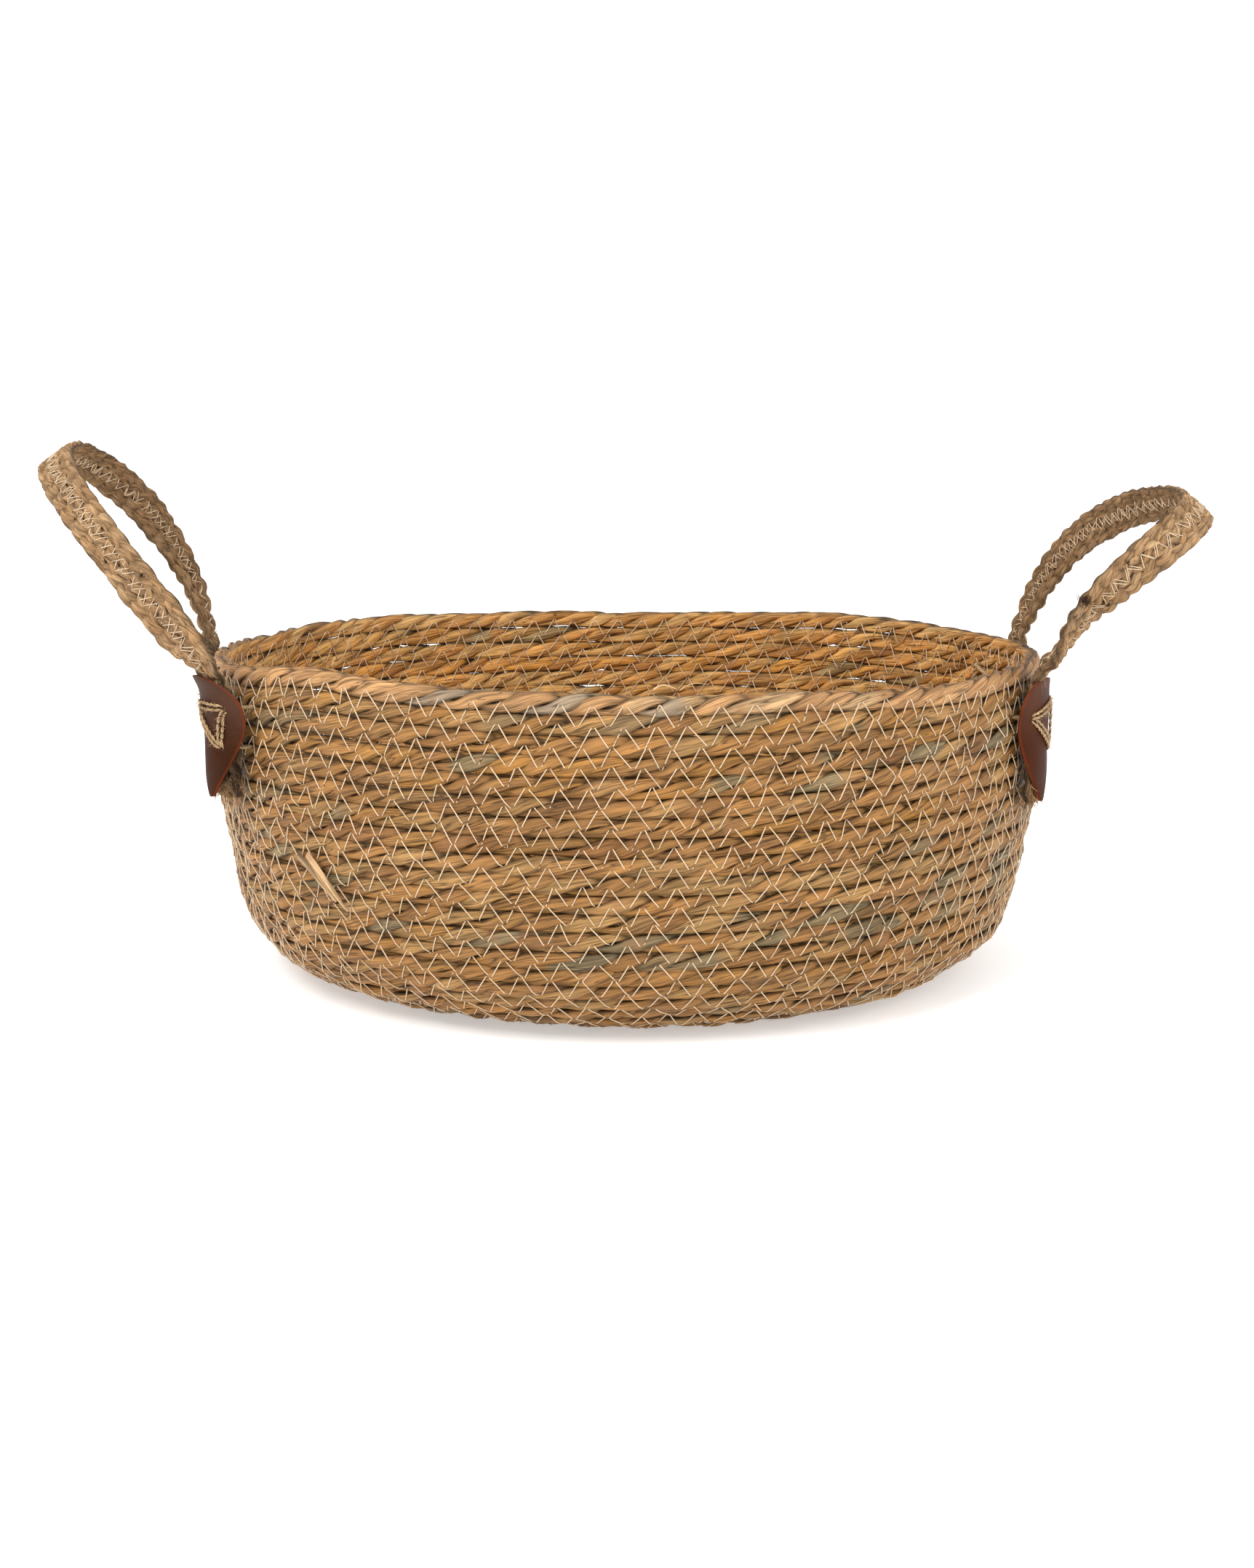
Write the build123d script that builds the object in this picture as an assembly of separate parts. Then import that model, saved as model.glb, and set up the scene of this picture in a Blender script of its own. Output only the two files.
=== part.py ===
from build123d import *
import math
import os

# Round seagrass storage basket with two standing jute handles, in millimetres.
# Z is up, the underside rests on Z = 0, and the basket's axis is the Z axis.
# The front of the basket faces -Y. Azimuths are in degrees from the front.

# Basket wall: one flat three-strand braid, coiled and sewn edge to edge.
RIM_RADIUS = 170.0
BASE_RADIUS = 117.0
BASKET_HEIGHT = 130.0
BRAID_THICKNESS = 6.5
GROOVE_DEPTH = 1.1
SHOULDER = 1.5
BASE_COURSES = 16
WALL_COURSES = 22

# Jute straps: each handle is one strap, standing on two sewn-down ends.
STRAP_WIDTH = 17.0
STRAP_THICKNESS = 5.0
STRAP_STANDOFF = 1.0
STRAP_END_BOTTOM = 76.0
HINGE_HEIGHT = 130.0
ROOT_RADIUS = 3.0
ROOT_GAP = 0.4
TAPER_START = 5.0
TAPER_END = 24.0

# Leather patches, one over each sewn-down strap end.
PATCH_TOP = 125.5
PATCH_TIP = 79.0
PATCH_HALF_WIDTH = 20.0
PATCH_TIP_HALF_WIDTH = 1.2
PATCH_THICKNESS = 2.0

# Twine that sews each patch on: a triangle outside, with a leg at each corner.
TWINE_RADIUS = 1.2
TWINE_HALF_WIDTH = 10.5
TWINE_TOP = 115.0
TWINE_APEX = 97.0
TWINE_INNER_RADIUS = 162.6

# One entry per handle. It stands on one side, on two ends at two azimuths. Its
# strap leaves the wall at the root radius. The arch leans out from upright, is
# swollen at both ends by the bulges and sits off centre by the skew. Out of its
# own plane it is swept by the bow, one way near and the other way far, and by
# the cup, most at half height. The left strap is folded double at its ends, so
# its ends are thick and lift the patches off the wall.
HANDLES = {
    "left": {
        "side": -1, "near": 60.0, "far": 98.0, "root_radius": 181.0,
        "lean": 35.0, "height": 99.0, "bulge_near": 33.0, "bulge_far": 35.0,
        "skew": -8.0, "squareness_near": 1.5, "squareness_far": 1.5,
        "bow": -15.0, "cup": 5.0,
        "end_thickness": 9.3, "patch_edge_radius": 173.7, "patch_crown": 8.3,
    },
    "right": {
        "side": 1, "near": 65.0, "far": 104.0, "root_radius": 175.5,
        "lean": 42.0, "height": 85.5, "bulge_near": 35.0, "bulge_far": 24.0,
        "skew": -51.0, "squareness_near": 1.2, "squareness_far": 0.83,
        "bow": -8.0, "cup": 9.0,
        "end_thickness": 4.2, "patch_edge_radius": 171.2, "patch_crown": 5.0,
    },
}
ARCH_POINTS = 14


def save(shape, name):
    """Write one sub-part to its own STEP file."""
    shape.label = name
    export_step(shape, f"parts/{name}.step")


def basket_profile():
    """Outer outline of the basket, from the centre of the base to the rim."""
    base = Line((0, 0), (BASE_RADIUS, 0))
    wall = Spline(
        (BASE_RADIUS, 0),
        (RIM_RADIUS - 29.5, 5.6),
        (RIM_RADIUS - 13.5, 19.5),
        (RIM_RADIUS - 5.5, 45.0),
        (RIM_RADIUS - 0.3, 80.0),
        (RIM_RADIUS + 0.6, 106.0),
        (RIM_RADIUS, BASKET_HEIGHT),
        tangents=((1, 0), (-0.04, 1)),
    )
    return base, wall


def course_section(path, start, end):
    """Section of the braid between two places along one stretch of the outline."""
    def place(along, depth):
        tangent = path % along
        inward = Vector(-tangent.Y, tangent.X)
        return path @ along + inward * depth

    shoulder = SHOULDER / path.length
    outer_start = place(start, GROOVE_DEPTH)
    outer_end = place(end, GROOVE_DEPTH)
    inner_start = place(start, BRAID_THICKNESS - GROOVE_DEPTH)
    inner_end = place(end, BRAID_THICKNESS - GROOVE_DEPTH)
    corners = [
        outer_start,
        place(start + shoulder, 0),
        place(end - shoulder, 0),
        outer_end,
        inner_end,
        place(end - shoulder, BRAID_THICKNESS),
        place(start + shoulder, BRAID_THICKNESS),
        inner_start,
    ]
    outline = Polyline(*[(p.X, 0, p.Y) for p in corners], close=True)
    return make_face(outline)


def course(path, index, count):
    """One turn of the coiled braid, as a ring about the basket's axis."""
    section = course_section(path, index / count, (index + 1) / count)
    return revolve(section, Axis.Z)


def wall_frame(side, azimuth):
    """Frame on the basket's axis: X points out at the azimuth, Z points up."""
    angle = math.radians(azimuth)
    return Plane(
        origin=(0, 0, 0),
        x_dir=(side * math.sin(angle), -math.cos(angle), 0),
        z_dir=(0, 0, 1),
    )


def strap_end(thickness):
    """Sewn-down end of a strap, flat against the wall, pinched at the top."""
    top = HINGE_HEIGHT - ROOT_RADIUS - ROOT_GAP
    outline = Polyline(
        (-STRAP_WIDTH / 2, STRAP_END_BOTTOM),
        (STRAP_WIDTH / 2, STRAP_END_BOTTOM),
        (STRAP_WIDTH / 2, top - TAPER_START),
        (ROOT_RADIUS, top),
        (-ROOT_RADIUS, top),
        (-STRAP_WIDTH / 2, top - TAPER_START),
        close=True,
    )
    inner_face = RIM_RADIUS + STRAP_STANDOFF
    face = Plane.YZ.offset(inner_face) * make_face(outline)
    return extrude(face, thickness)


def leather_patch(edge, crown):
    """Shield-shaped leather patch, bent over the strap end that it covers."""
    shoulder_height = PATCH_TOP - PATCH_HALF_WIDTH
    slant = PATCH_HALF_WIDTH * math.sqrt(0.5)
    waist = (PATCH_HALF_WIDTH * 0.63, (shoulder_height + PATCH_TIP) / 2 + 1.5)

    def side(sign):
        top = ThreePointArc(
            (0, PATCH_TOP),
            (sign * slant, shoulder_height + slant),
            (sign * PATCH_HALF_WIDTH, shoulder_height),
        )
        flank = ThreePointArc(
            (sign * PATCH_HALF_WIDTH, shoulder_height),
            (sign * waist[0], waist[1]),
            (sign * PATCH_TIP_HALF_WIDTH, PATCH_TIP),
        )
        return top, flank

    tip = Line((-PATCH_TIP_HALF_WIDTH, PATCH_TIP), (PATCH_TIP_HALF_WIDTH, PATCH_TIP))
    shield = make_face(Wire([*side(1), tip, *side(-1)]))
    shield_block = extrude(Plane.YZ.offset(RIM_RADIUS - 10) * shield, 40)

    width = PATCH_HALF_WIDTH + 1
    inner = ThreePointArc((edge, -width), (edge + crown, 0), (edge, width))
    outer = ThreePointArc(
        (edge + PATCH_THICKNESS, -width),
        (edge + PATCH_THICKNESS + crown, 0),
        (edge + PATCH_THICKNESS, width),
    )
    ends = [Line(inner @ k, outer @ k) for k in (0, 1)]
    bend = make_face(Wire([inner, outer, *ends]))
    bent_sheet = extrude(bend, BASKET_HEIGHT)
    return shield_block & bent_sheet


def rod(start, end):
    """Straight run of twine between two points, with round ends."""
    run = Vector(*end) - Vector(*start)
    plane = Plane(origin=start, z_dir=run)
    body = extrude(plane * Circle(TWINE_RADIUS), run.length)
    return body + Pos(*start) * Sphere(TWINE_RADIUS) + Pos(*end) * Sphere(TWINE_RADIUS)


def twine_stitch(crown):
    """Twine triangle on a patch, with legs through the wall and a triangle inside."""
    corners = [(-TWINE_HALF_WIDTH, TWINE_TOP), (TWINE_HALF_WIDTH, TWINE_TOP), (0, TWINE_APEX)]
    stitch = None
    for index, (across, height) in enumerate(corners):
        next_across, next_height = corners[(index + 1) % 3]
        outside = (crown, across, height)
        inside = (TWINE_INNER_RADIUS, across, height)
        piece = rod(outside, inside)
        piece += rod(outside, (crown, next_across, next_height))
        piece += rod(inside, (TWINE_INNER_RADIUS, next_across, next_height))
        stitch = piece if stitch is None else stitch + piece
    return stitch


def arch_frame(handle):
    """Frame of a handle's arch: X along the hinge, Y up the arch, Z across the strap."""
    side = handle["side"]
    middle = math.radians((handle["near"] + handle["far"]) / 2)
    half = math.radians((handle["far"] - handle["near"]) / 2)
    lean = math.radians(handle["lean"])
    out = Vector(side * math.sin(middle), -math.cos(middle), 0)
    along = Vector(side * math.cos(middle), math.sin(middle), 0)
    up = out * math.sin(lean) + Vector(0, 0, math.cos(lean))
    centre = out * handle["root_radius"] * math.cos(half) + Vector(0, 0, HINGE_HEIGHT)
    return Plane(origin=centre, x_dir=along, z_dir=along.cross(up))


def root_distance(handle):
    """Distance of each root from the middle of the hinge."""
    return handle["root_radius"] * math.sin(math.radians((handle["far"] - handle["near"]) / 2))


def arch_place(handle, angle):
    """Place on the arch's centre line in its own frame; 0 is near, 180 degrees far."""
    rise = math.sin(angle)
    near = (1 + math.cos(angle)) / 2
    far = 1 - near
    bulge = handle["bulge_near"] * near + handle["bulge_far"] * far
    power = handle["squareness_near"] * near + handle["squareness_far"] * far
    share = rise ** power
    across = handle["skew"] * rise - (root_distance(handle) + bulge * rise) * math.cos(angle)
    swept = handle["bow"] * rise * math.cos(angle) + handle["cup"] * 4 * share * (1 - share)
    return Vector(across, handle["height"] * share, -handle["side"] * swept)


def strap_section(handle, angle):
    """Section of the strap across its arch, narrow near the roots."""
    centre = arch_place(handle, angle)
    ahead = (arch_place(handle, angle + 0.02) - arch_place(handle, angle - 0.02)).normalized()
    share = (centre.Y - TAPER_START) / (TAPER_END - TAPER_START)
    share = min(max(share, 0), 1)
    width = 2 * ROOT_RADIUS * (1 - share) + STRAP_WIDTH * share
    across = Vector(0, 0, 1) - ahead * ahead.Z
    return Plane(origin=centre, x_dir=across, z_dir=ahead) * Rectangle(width, STRAP_THICKNESS)


def root_section(across, rising):
    """Section of the strap at a root, on the hinge."""
    plane = Plane(origin=(across, 0, 0), x_dir=(0, 0, 1), z_dir=(0, rising, 0))
    return plane * Rectangle(2 * ROOT_RADIUS, STRAP_THICKNESS)


def handle_strap(handle):
    """Standing part of a handle: a flat strap in an arch, round and narrow at its roots."""
    half_width = root_distance(handle)
    sections = [root_section(-half_width, 1)]
    for index in range(1, ARCH_POINTS):
        sections.append(strap_section(handle, math.pi * index / ARCH_POINTS))
    sections.append(root_section(half_width, -1))
    strap = loft(sections)
    for across in (-half_width, half_width):
        strap += Pos(across, 0, 0) * Rot(0, 90, 0) * Cylinder(ROOT_RADIUS, STRAP_THICKNESS)
    return arch_frame(handle) * strap


def main():
    os.makedirs("parts", exist_ok=True)
    base, wall = basket_profile()
    for index in range(BASE_COURSES):
        save(course(base, index, BASE_COURSES), f"base_course_{index + 1:02d}")
    for index in range(WALL_COURSES - 1):
        save(course(wall, index, WALL_COURSES), f"wall_course_{index + 1:02d}")
    save(course(wall, WALL_COURSES - 1, WALL_COURSES), "rim_course")

    for side_name, handle in HANDLES.items():
        edge, crown = handle["patch_edge_radius"], handle["patch_crown"]
        save(handle_strap(handle), f"handle_strap_{side_name}")
        for place in ("near", "far"):
            frame = wall_frame(handle["side"], handle[place])
            name = f"{side_name}_{place}"
            save(frame * strap_end(handle["end_thickness"]), f"strap_end_{name}")
            save(frame * leather_patch(edge, crown), f"leather_patch_{name}")
            twine = twine_stitch(edge + PATCH_THICKNESS + crown)
            save(frame * twine, f"twine_stitch_{name}")


main()
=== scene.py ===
import math

import bpy
import numpy as np
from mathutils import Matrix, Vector
from mathutils.bvhtree import BVHTree


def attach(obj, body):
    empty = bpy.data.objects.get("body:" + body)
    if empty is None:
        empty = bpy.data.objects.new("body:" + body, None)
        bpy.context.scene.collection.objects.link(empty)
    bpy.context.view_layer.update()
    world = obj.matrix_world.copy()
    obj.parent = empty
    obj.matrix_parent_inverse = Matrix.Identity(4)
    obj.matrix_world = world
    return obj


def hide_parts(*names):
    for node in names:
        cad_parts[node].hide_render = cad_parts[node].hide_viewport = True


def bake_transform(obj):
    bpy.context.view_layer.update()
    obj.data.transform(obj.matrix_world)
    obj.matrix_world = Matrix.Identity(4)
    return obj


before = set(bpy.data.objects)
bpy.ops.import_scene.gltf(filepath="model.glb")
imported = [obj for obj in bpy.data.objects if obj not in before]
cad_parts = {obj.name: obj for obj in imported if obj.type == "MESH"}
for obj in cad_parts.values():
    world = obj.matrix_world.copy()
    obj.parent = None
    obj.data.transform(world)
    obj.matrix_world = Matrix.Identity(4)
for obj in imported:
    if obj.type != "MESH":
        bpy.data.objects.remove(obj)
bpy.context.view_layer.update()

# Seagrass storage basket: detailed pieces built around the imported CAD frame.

TURN = 2 * math.pi
MM = 0.001
UP = np.array([0, 0, 1.0])

# Basket, in metres, as in the CAD.
BASE_COUNT = 16
WALL_COUNT = 21
COURSE_PITCH = 0.0073
HINGE_HEIGHT = 0.130
COURSE_STEP = 0.0017
PLAIT_PERIOD = 0.0445
STITCH_PITCH = 0.0109
THREAD_RADIUS = 0.00024
THREAD_TWIST = 0.0011
THREAD_REACH = 0.008

# Straps, in metres. They bend between two heights, just below and above the rim.
STRAP_WIDTH = 0.0152
STRAP_STEP = 0.001
STRAP_PERIOD = 0.068
STRAP_STITCH_PITCH = 0.0062
STRAP_THREAD_RADIUS = 0.00020

# Leather patch, in metres: bent round an upright axis over the strap end. The twine
# runs back inside the wall, at a distance from the basket's axis.
PATCH_HALF_WIDTH = 0.0188
PATCH_THICKNESS = 0.0015
PATCH_TIP_HALF_WIDTH = 0.0010
TWINE_INSIDE = 0.1622

# Each handle, in metres and degrees. Its arch, as in the CAD: side of the basket,
# azimuths of its roots from the front, their distance from the axis, lean outward,
# height, bulge at each root, skew, squareness, bow and cup. Its strap: distance and
# half thickness of the ends, how far above each root it turns on edge, how much it
# is pinched there, push outward above the near patch, and lower end. Its patches:
# top, flare at the top, tip, height of the shoulder, distance of the crown, radius of
# the bend, tilt, and the corners of the twine (sideways, up). Dark flecks: distance
# along the strap from its near root, share of the half width, size, count.
HANDLES = {
    "left": {
        "side": -1, "near": 60, "far": 98, "root": 0.181, "lean": 35,
        "height": 0.097, "bulge_near": 0.033, "bulge_far": 0.035, "skew": -0.008,
        "square_near": 1.5, "square_far": 1.5, "bow": -0.015, "cup": 0.005,
        "foot": 0.1755, "end_depth": 0.0038, "turn_near": 0.026, "turn_far": 0.125,
        "pinch_near": 0.05, "pinch_far": 0.45, "push": 0.0, "bottom": 0.0825,
        "top": 0.1285, "flare": 0.0022, "tip": 0.0820, "shoulder": 0.0165,
        "crown": 0.1838, "bend": 0.0285, "tilt": 0.0035,
        "twine": ((-0.0110, 0.1170), (0.0122, 0.1168), (0.0086, 0.1012)),
        "flecks": (
            (0.0575, 0.5, 0.0012, 14), (0.0455, -0.5, 0.0016, 22), (0.078, 0.45, 0.0009, 8),
        ),
    },
    "right": {
        "side": 1, "near": 65, "far": 104, "root": 0.1755, "lean": 42,
        "height": 0.0832, "bulge_near": 0.035, "bulge_far": 0.024, "skew": -0.051,
        "square_near": 1.2, "square_far": 0.83, "bow": -0.008, "cup": 0.009,
        "foot": 0.1731, "end_depth": 0.0021, "turn_near": 0.080, "turn_far": 0.170,
        "pinch_near": 0.18, "pinch_far": 0.30, "push": 0.0028, "bottom": 0.0775,
        "top": 0.1255, "flare": 0.0, "tip": 0.0775, "shoulder": 0.0182,
        "crown": 0.1780, "bend": 0.0460, "tilt": 0.0008,
        "twine": ((-0.0130, 0.1112), (0.0135, 0.1168), (0.0108, 0.0963)),
        "flecks": (
            (0.0425, 1.0, 0.0028, 60), (0.0605, 0.5, 0.0015, 20), (0.0445, -0.3, 0.0013, 16),
        ),
    },
}

# Colours, linear.
STRAW = (0.475, 0.255, 0.105)
PALE_STRAW = (0.53, 0.335, 0.165)
GOLD = (0.49, 0.255, 0.080)
BROWN = (0.30, 0.145, 0.055)
GREY_GREEN = (0.290, 0.235, 0.165)
# Wall tone factor: partly the wall's own yellower colour, partly painted shade that keeps the
# wall darker than the rim.
WALL_TINT_AND_SHADE = (0.69, 0.61, 0.42)
JUTE = (0.415, 0.235, 0.106)
JUTE_PALE = (0.585, 0.38, 0.205)
THREAD = (0.66, 0.50, 0.33)
TWINE = (0.48, 0.32, 0.17)
FLECK = (0.050, 0.024, 0.012)
LEATHER_FACE = (0.036, 0.0105, 0.0030)
LEATHER_EDGE = (0.15, 0.030, 0.010)
LEATHER_BACK = (0.20, 0.105, 0.055)


def turn_noise(rng, count, waves):
    """Smooth noise of unit size that closes on itself over one turn."""
    along = rng.normal(size=waves)
    across = rng.normal(size=waves)
    angle = np.outer(np.linspace(0, TURN, count, endpoint=False), np.arange(1, waves + 1))
    noise = np.cos(angle) @ along + np.sin(angle) @ across
    return noise / noise.std()


def smoothstep(start, end, value):
    """0 before start, 1 after end, smooth between."""
    t = np.clip((value - start) / (end - start), 0, 1)
    return t * t * (3 - 2 * t)


def unit(vectors):
    """Vectors scaled to length 1."""
    return vectors / np.linalg.norm(vectors, axis=-1, keepdims=True)


def tangents(points, closed=False):
    """Unit directions along a line of points."""
    if closed:
        return unit(np.roll(points, -1, 0) - np.roll(points, 1, 0))
    return unit(np.gradient(points, axis=0))


def square_to(vectors, ahead):
    """Unit vectors nearest to the given ones that stand square to ahead."""
    return unit(vectors - ahead * (vectors * ahead).sum(-1, keepdims=True))


def round_directions(ahead):
    """Two directions square to ahead and to each other."""
    helper = np.zeros_like(ahead)
    helper[..., 2] = 1.0
    helper[np.abs(ahead[..., 2]) > 0.9] = (1.0, 0.0, 0.0)
    first = unit(np.cross(helper, ahead))
    return first, np.cross(ahead, first)


def lengths(points):
    """Distance along a line of points, at each point."""
    return np.concatenate([[0], np.cumsum(np.linalg.norm(np.diff(points, axis=0), axis=1))])


def interpolated(spots, length, values):
    """Rows of three values, given at distances along a line, at other distances."""
    return np.stack([np.interp(spots, length, values[:, k]) for k in range(3)], -1)


def averaged(values, size):
    """Running means of rows of three values."""
    kernel = np.ones(size) / size
    return np.stack([np.convolve(values[:, k], kernel, "valid") for k in range(3)], -1)


def placed(name, data):
    """A new object in the scene with the given mesh, light or camera."""
    made = bpy.data.objects.new(name, data)
    bpy.context.scene.collection.objects.link(made)
    return made


class Piece:
    """Collects tube-like grids of points into one mesh object."""

    def __init__(self, cells_across=1):
        self.cells_across = cells_across
        self.points = []
        self.tones = []
        self.corners = []
        self.sizes = []
        self.fibre = []
        self.cell_of = []
        self.in_cell = []
        self.cell_count = 0
        self.point_count = 0

    def grid(self, points, tone, girth, offset, closed=False, cells=1):
        """Adds a closed or open tube: points[along][around]; open ends get caps.

        Each tube takes the given number of cells of the bake layout; girth and
        offset place it in the fibre layout, which is in metres.
        """
        along, around = points.shape[:2]
        tone = np.broadcast_to(np.asarray(tone, float), (along, around, 3))
        rows = along if closed else along - 1
        index = np.arange(along * around).reshape(along, around) + self.point_count
        i = np.arange(rows)[:, None]
        j = np.arange(around)[None, :]
        i2, j2 = (i + 1) % along, (j + 1) % around
        quads = np.stack([index[i, j], index[i, j2], index[i2, j2], index[i2, j]], -1)
        edge = points[:, 0]
        length = lengths(np.concatenate([edge, edge[:1]]) if closed else edge)
        u = np.arange(around + 1) / around * girth + offset[0]
        v = length + offset[1]
        per_cell = max(1, math.ceil(rows / cells))
        cell = np.arange(rows) // per_cell
        local = np.arange(rows) % per_cell
        fibre = np.empty((rows, around, 4, 2))
        in_cell = np.empty((rows, around, 4, 2))
        for corner, (di, dj) in enumerate(((0, 0), (0, 1), (1, 1), (1, 0))):
            fibre[:, :, corner, 0] = u[None, dj:dj + around]
            fibre[:, :, corner, 1] = v[di:di + rows, None]
            in_cell[:, :, corner, 0] = ((local + di) / per_cell)[:, None]
            in_cell[:, :, corner, 1] = ((np.arange(around) + dj) / around)[None, :]
        self.points.append(points.reshape(-1, 3))
        self.tones.append(tone.reshape(-1, 3))
        self.corners.append(quads.reshape(-1))
        self.sizes.append(np.full(rows * around, 4))
        self.fibre.append(fibre.reshape(-1, 2))
        self.in_cell.append(in_cell.reshape(-1, 2))
        self.cell_of.append(np.repeat(cell + self.cell_count, around * 4))
        if not closed:
            for ring, corner_v, order in ((0, 0, -1), (rows, 1, 1)):
                self.corners.append(index[ring][::order])
                self.sizes.append(np.array([around]))
                self.fibre.append(np.tile([u[0], v[ring]], (around, 1)))
                place = (local[-1] + 1) / per_cell if corner_v else 0.0
                self.in_cell.append(np.tile([place, 0.5], (around, 1)))
                last = cell[-1] if corner_v else 0
                self.cell_of.append(np.full(around, last + self.cell_count))
        self.cell_count += int(cell[-1]) + 1
        self.point_count += along * around

    def build(self, name, material, body="root"):
        """Makes the mesh object, riding on a body if one is given."""
        points = np.concatenate(self.points).astype(np.float32)
        corners = np.concatenate(self.corners).astype(np.int32)
        sizes = np.concatenate(self.sizes).astype(np.int32)
        across = self.cells_across
        down = math.ceil(self.cell_count / across)
        cell = np.concatenate(self.cell_of)
        place = np.stack([cell % across, cell // across], -1)
        margin = 0.04
        inside = np.concatenate(self.in_cell) * (1 - 2 * margin) + margin
        bake = (place + inside) / np.array([across, down])
        mesh = bpy.data.meshes.new(name)
        mesh.vertices.add(len(points))
        mesh.vertices.foreach_set("co", points.ravel())
        mesh.loops.add(len(corners))
        mesh.loops.foreach_set("vertex_index", corners)
        mesh.polygons.add(len(sizes))
        starts = np.concatenate([[0], np.cumsum(sizes)[:-1]]).astype(np.int32)
        mesh.polygons.foreach_set("loop_start", starts)
        mesh.update(calc_edges=True)
        mesh.shade_smooth()
        bake_layer = mesh.uv_layers.new(name="OFBake")
        bake_layer.uv.foreach_set("vector", bake.astype(np.float32).ravel())
        fibre_layer = mesh.uv_layers.new(name="Fibre")
        fibre = np.concatenate(self.fibre).astype(np.float32)
        fibre_layer.uv.foreach_set("vector", fibre.ravel())
        tone = np.ones((len(points), 4), np.float32)
        tone[:, :3] = np.concatenate(self.tones)
        layer = mesh.attributes.new("Tone", "FLOAT_COLOR", "POINT")
        layer.data.foreach_set("color", tone.ravel())
        mesh.validate()
        mesh.materials.append(material)
        piece = placed(name, mesh)
        if body:
            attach(piece, body)
        return piece

    def tree(self):
        """Search tree of the quads so far, for laying thread on them."""
        points = np.concatenate(self.points)
        quads = []
        for corners, sizes in zip(self.corners, self.sizes):
            if sizes[0] == 4:
                quads.append(corners.reshape(-1, 4))
        return BVHTree.FromPolygons(points.tolist(), np.concatenate(quads).tolist())


# ---------------------------------------------------------------- materials

def node(tree, kind, inputs=None, **settings):
    """Adds a shader node; an input given as a socket is linked."""
    made = tree.nodes.new("ShaderNode" + kind)
    for key, value in settings.items():
        setattr(made, key, value)
    for key, value in (inputs or {}).items():
        if isinstance(value, bpy.types.NodeSocket):
            tree.links.new(value, made.inputs[key])
        else:
            made.inputs[key].default_value = value
    return made


def new_material(name):
    """Empty node material and its shader node."""
    material = bpy.data.materials.new(name)
    material.use_nodes = True
    tree = material.node_tree
    return material, tree, tree.nodes["Principled BSDF"]


def toned_material(name, specular):
    """Material whose base is the mesh's own tone; gives its colour socket too."""
    material, tree, shader = new_material(name)
    shader.inputs["Specular IOR Level"].default_value = specular
    tone = node(tree, "Attribute", attribute_name="Tone")
    return material, tree, shader, tone.outputs["Color"]


def fibre_noise(tree, across, along, skew=0.0, detail=3.0):
    """Noise stretched along the fibres: cell sizes in metres across and along."""
    uv = node(tree, "UVMap", uv_map="Fibre")
    split = node(tree, "SeparateXYZ", {0: uv.outputs[0]})
    slant = node(tree, "Math", {0: split.outputs[1], 1: skew}, operation="MULTIPLY")
    x = node(tree, "Math", {0: split.outputs[0], 1: slant.outputs[0]}, operation="ADD")
    x = node(tree, "Math", {0: x.outputs[0], 1: 1 / across}, operation="MULTIPLY")
    y = node(tree, "Math", {0: split.outputs[1], 1: 1 / along}, operation="MULTIPLY")
    place = node(tree, "CombineXYZ", {0: x.outputs[0], 1: y.outputs[0]})
    return node(tree, "TexNoise", {"Vector": place.outputs[0], "Scale": 1.0, "Detail": detail})


def spot_noise(tree, size, detail=2.0):
    """Noise in space with cells of the given size in metres."""
    place = node(tree, "TexCoord")
    vector = place.outputs["Object"]
    return node(tree, "TexNoise", {"Vector": vector, "Scale": 1 / size, "Detail": detail})


def ramp(tree, source, low, high, out_low, out_high):
    """Maps a node's value range to another, smooth and clamped."""
    made = node(
        tree, "MapRange",
        {0: source.outputs[0], 1: low, 2: high, 3: out_low, 4: out_high},
        interpolation_type="SMOOTHSTEP",
    )
    return made.outputs[0]


def shaded(tree, colour, source, low, high, dark, light):
    """Colour times a factor from dark to light that follows a node's value."""
    factor = ramp(tree, source, low, high, dark, light)
    made = node(tree, "VectorMath", {0: colour, "Scale": factor}, operation="SCALE")
    return made.outputs[0]


def mixed(tree, factor, first, second):
    """Mix of two colours."""
    made = node(tree, "Mix", {0: factor, 6: first, 7: second}, data_type="RGBA")
    return made.outputs[2]


def surfaced(tree, shader, colour, roughness, height, strength, distance):
    """Feeds the shader its colour, its roughness and a height as a bump."""
    bump = node(
        tree, "Bump", {"Height": height, "Strength": strength, "Distance": distance}
    )
    tree.links.new(colour, shader.inputs["Base Color"])
    tree.links.new(roughness, shader.inputs["Roughness"])
    tree.links.new(bump.outputs[0], shader.inputs["Normal"])


def added(tree, first, second, weight):
    """First plus weight times second."""
    made = node(
        tree, "Math", {0: second, 1: weight, 2: first}, operation="MULTIPLY_ADD"
    )
    return made.outputs[0]


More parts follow.
